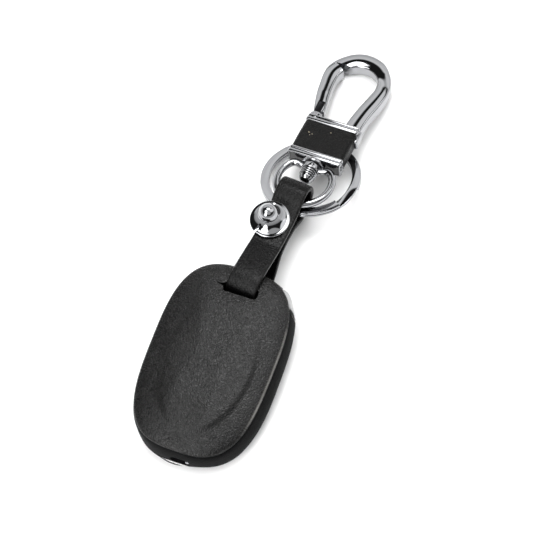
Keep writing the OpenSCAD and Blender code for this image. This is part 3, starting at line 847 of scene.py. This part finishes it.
# ---------------------------------------------------------------- hook body
# centreline and half widths of the one bent bar: arm, round end, then the gate
BAR = [(7.35, 15.2, 3.5), (7.5, 18.5, 3.45), (7.85, 22.0, 3.4), (8.45, 25.8, 3.35), (9.4, 30.2, 3.32), (10.05, 33.6, 3.15),
       (10.37, 36.2, 3.0), (10.25, 38.4, 2.9), (9.8, 40.5, 2.82), (8.97, 42.4, 2.8), (7.77, 44.05, 2.88), (6.39, 45.5, 3.1),
       (4.8, 46.7, 3.28), (2.95, 47.5, 3.4), (1.0, 47.9, 3.52), (-1.0, 48.0, 3.58), (-3.0, 47.65, 3.58), (-4.9, 46.85, 3.52),
       (-6.55, 45.6, 3.5), (-8.0, 44.1, 3.52), (-9.25, 42.4, 3.5), (-10.1, 40.5, 3.42), (-10.5, 38.4, 3.28), (-10.47, 36.2, 3.15),
       (-10.2, 33.8, 3.02), (-9.85, 31.0, 2.95), (-9.3, 27.8, 2.85), (-8.5, 24.4, 2.72), (-7.85, 21.6, 2.5), (-7.6, 20.1, 2.3)]

def bent_bar(name, keep):
    c = resample(cr(np.array(BAR), 6), 0.45)
    up_ = np.interp(c[:, 2], [2.3, 2.9, 3.6], [2.3, 2.85, 3.0])
    k = [i for i in range(len(c)) if keep(c[i])]
    c, up_ = c[k[0]:k[-1] + 1], up_[k[0]:k[-1] + 1]
    return tube(name, c[:, :2], list(zip(c[:, 2], up_)), hook, "chrome", domed=True)

def hook_chrome():
    def bar(inset, y):
        k = rrect(20.7 - 2 * inset, 7.0 - 2 * inset, max(0.25, 1.1 - inset), 5)
        return np.stack([k[:, 0], np.full(len(k), y), k[:, 1]], 1)
    rings = [bar(0.8, 14.3), bar(0.3, 14.45), bar(0.14, 14.6), bar(0.05, 14.85), bar(0.01, 15.1), bar(0, 15.3), bar(0.01, 15.5),
             bar(0.05, 15.75), bar(0.14, 15.97), bar(0.42, 16.12), bar(0.42, 16.35), bar(0.22, 16.45), bar(0.13, 16.7), bar(0.17, 17.0),
             bar(0.3, 17.25), bar(0.85, 17.45)]
    v, f = loft(rings)
    upper = solid("upper_bar", hook(v), f, "chrome", 55)
    core = rbox("core", (-8.1, 1.0, -1.6), (8.1, 14.4, 1.6), hook, "steel", 0)
    ob = bent_bar("arm", lambda q: not (q[0] < -2 and q[1] < 36.5))
    cut(ob, prism("cutter", [(-17, 33.6), (-10.8, 43.4), (-4, 43.4), (-4, 30), (-17, 30)], -6, 6, hook, "chrome"))
    lug = lathe("lug", [(0, -3.2), (2.0, -3.2)] + arc(2.0, -2.8, 0.4, -90, 0, 4) + arc(1.5, 2.3, 0.9, 0, 90, 6) + [(0, 3.22)],
                lambda p: hook(np.asarray(p) * np.array([1.0, 0.75, 1]) + np.array([-7.6, 17.5, 0])), "chrome", n=56)
    foot = rbox("foot", (-10.15, 16.2, -3.1), (-5.3, 17.9, 3.1), hook, "chrome", 0.7, 4)
    tab = rbox("tab", (9.55, 11.6, -2.6), (11.25, 17.0, 1.9), hook, "chrome", 0.7, 4)
    slotc = prism("cutter", [(-12, 16.2), (-3, 16.2), (-3, 24), (-12, 24)], -1.35, 2.15, hook, "chrome")
    slotd = prism("cutter", [(-12, 16.2), (-3, 16.2), (-3, 24), (-12, 24)], -1.35, 2.15, hook, "chrome")
    cut(lug, slotc)
    cut(foot, slotd)
    slote = prism("cutter", [(-12, 15.9), (-4.4, 15.9), (-4.4, 24), (-12, 24)], -1.35, 2.15, hook, "chrome")
    cut(upper, slote)
    for o_ in (ob, lug, foot, upper, tab, core):
        shade(o_, 40)
    return join("snap_hook", [ob, upper, lug, foot, tab, core])

put(hook_chrome(), "hook", "chrome", "hook_body")

def gate():
    ob = bent_bar("gate_bar", lambda q: q[0] < -4 and q[1] < 45.5)
    cut(ob, prism("cutter", [(-17, 33.05), (-10.95, 42.7), (-10.5, 42.95), (-9.6, 42.75), (-8.2, 41.9), (-4, 38.5), (-4, 50), (-17, 50)],
                  -6, 6, hook, "chrome"))
    # sunk flat near the foot of the gate; its cut faces take the near-black recess metal, which is painted shade
    cut(ob, rbox("cutter", (-9.4, 16.0, 1.75), (-6.7, 24.6, 6.0), hook, "dark", 0.3, 3))
    shade(ob, 40)
    eye = lathe("eye", [(0, -1.25), (1.5, -1.25), (1.65, -1.1), (1.65, 1.1), (1.5, 1.25), (0, 1.25)],
                lambda p: hook(np.asarray(p) + np.array([-7.6, 17.8, 0])), "chrome", n=40)
    neck = rbox("neck", (-9.1, 17.8, -1.2), (-6.1, 21.6, 1.2), hook, "chrome", 0.2, 2)
    return join("spring_gate", [ob, eye, neck])
put(gate(), "gate", "chrome", "gate")

# ---------------------------------------------------------------- materials on the carried CAD nodes
for name, mat in (("remote_back_case", "gloss"), ("remote_front_case", "gloss"), ("circuit_board", "board"), ("button_mat", "mat"), ("lock_button", "rubber"),
                  ("unlock_button", "rubber"), ("trunk_button", "rubber"), ("stud_post", "steel"), ("stud_back", "chrome"),
                  ("gate_pin", "steel"), ("gate_spring", "steel")):
    o_ = frame["nodes"][name] if isinstance(frame["nodes"], dict) else bpy.data.objects[name]
    if not isinstance(o_, bpy.types.Object):
        o_ = bpy.data.objects[name]
    if not o_.material_slots:
        o_.data.materials.append(M[mat])
    for s_ in o_.material_slots:
        s_.material = M[mat]

# ---------------------------------------------------------------- floor, light and surroundings
def floor():
    me = bpy.data.meshes.new("floor")
    s = 3.0
    me.from_pydata([(-s, -s, 0), (s, -s, 0), (s, s, 0), (-s, s, 0)], [], [(0, 1, 2, 3)])
    ob = bpy.data.objects.new("floor", me)
    scene.collection.objects.link(ob)
    m, nt, bs = new_mat("floor_white")
    bs.inputs["Base Color"].default_value = (0.9, 0.9, 0.9, 1)
    bs.inputs["Roughness"].default_value = 0.9
    bs.inputs["Specular IOR Level"].default_value = 0.0
    me.materials.append(m)
    ob.location.z = -0.0002
floor()

def area(name, pos, target, size, watts, glossy=True, diffuse=True, size_y=None, shadow=True):
    d = bpy.data.lights.new(name, "AREA")
    d.energy = watts
    d.size = size
    if size_y:
        d.shape = "RECTANGLE"
        d.size_y = size_y
    d.use_shadow = shadow
    ob = bpy.data.objects.new(name, d)
    scene.collection.objects.link(ob)
    ob.location = pos
    v = Vector(target) - Vector(pos)
    ob.rotation_euler = v.to_track_quat("-Z", "Y").to_euler()
    ob.visible_glossy = glossy
    ob.visible_diffuse = diffuse
    return ob

world = bpy.data.worlds.new("studio")
scene.world = world
world.use_nodes = True
nt = world.node_tree
nt.nodes.clear()
wo = nt.nodes.new("ShaderNodeOutputWorld")
bg = nt.nodes.new("ShaderNodeBackground")
tc = nt.nodes.new("ShaderNodeTexCoord")
sx = nt.nodes.new("ShaderNodeSeparateXYZ")
nt.links.new(tc.outputs["Generated"], sx.inputs[0])
def total(*socks):
    out = socks[0]
    for k in socks[1:]:
        a_ = node(nt, "ShaderNodeMath", operation="ADD")
        nt.links.new(out, a_.inputs[0]); nt.links.new(k, a_.inputs[1])
        out = a_.outputs[0]
    return out

def times(sock, other):
    a_ = node(nt, "ShaderNodeMath", operation="MULTIPLY")
    nt.links.new(sock, a_.inputs[0])
    if isinstance(other, float):
        a_.inputs[1].default_value = other
    else:
        nt.links.new(other, a_.inputs[1])
    return a_.outputs[0]

def card(direction, inner, outer, power):
    """A round softbox in the surroundings: bright within inner degrees, gone by outer."""
    d = Vector(direction).normalized()
    v_ = node(nt, "ShaderNodeVectorMath", operation="DOT_PRODUCT")
    nt.links.new(tc.outputs["Generated"], v_.inputs[0])
    v_.inputs[1].default_value = d
    m_ = node(nt, "ShaderNodeMapRange")
    nt.links.new(v_.outputs["Value"], m_.inputs["Value"])
    m_.inputs["From Min"].default_value = math.cos(math.radians(outer))
    m_.inputs["From Max"].default_value = math.cos(math.radians(inner))
    return times(m_.outputs[0], float(power))

horizon = ramp(nt, sx.outputs["Z"], [(0.0, 0.95), (0.22, 0.9), (0.40, 0.55), (0.46, 0.03), (1.0, 0.02)])
backwall = ramp(nt, sx.outputs["Z"], [(0.0, 0.0), (0.30, 0.3), (0.5, 1.5), (0.59, 1.5), (0.65, 0.0)])
behind = node(nt, "ShaderNodeMapRange")
nt.links.new(sx.outputs["Y"], behind.inputs["Value"])
behind.inputs["From Min"].default_value = 0.35
behind.inputs["From Max"].default_value = 0.5
light = total(horizon, times(backwall, behind.outputs[0]),
              card((-0.17, 0.37, 0.92), 9, 12, 9.0),
              card((0.06, 0.33, 0.94), 8, 12, 9.0),
              card((0.29, -0.36, 0.89), 20, 23, 0.8),
              card((-0.30, -0.22, 0.93), 13, 17, 4.4),
              card((0.52, 0.30, 0.80), 17, 21, 1.9),
              card((0.05, 0.62, 0.78), 7, 11, 1.6),
              card((-0.22, -0.62, 0.75), 11, 16, 6.0),
              card((-0.22, -0.82, 0.53), 10, 15, 5.0))
nt.links.new(light, bg.inputs[0])
bg.inputs[1].default_value = 1.0
nt.links.new(bg.outputs[0], wo.inputs[0])

# broad light for the floor and the matt surfaces only
area("overhead", (-0.1, 0.1, 1.3), (0, 0, 0), 1.6, 6.0, glossy=False)
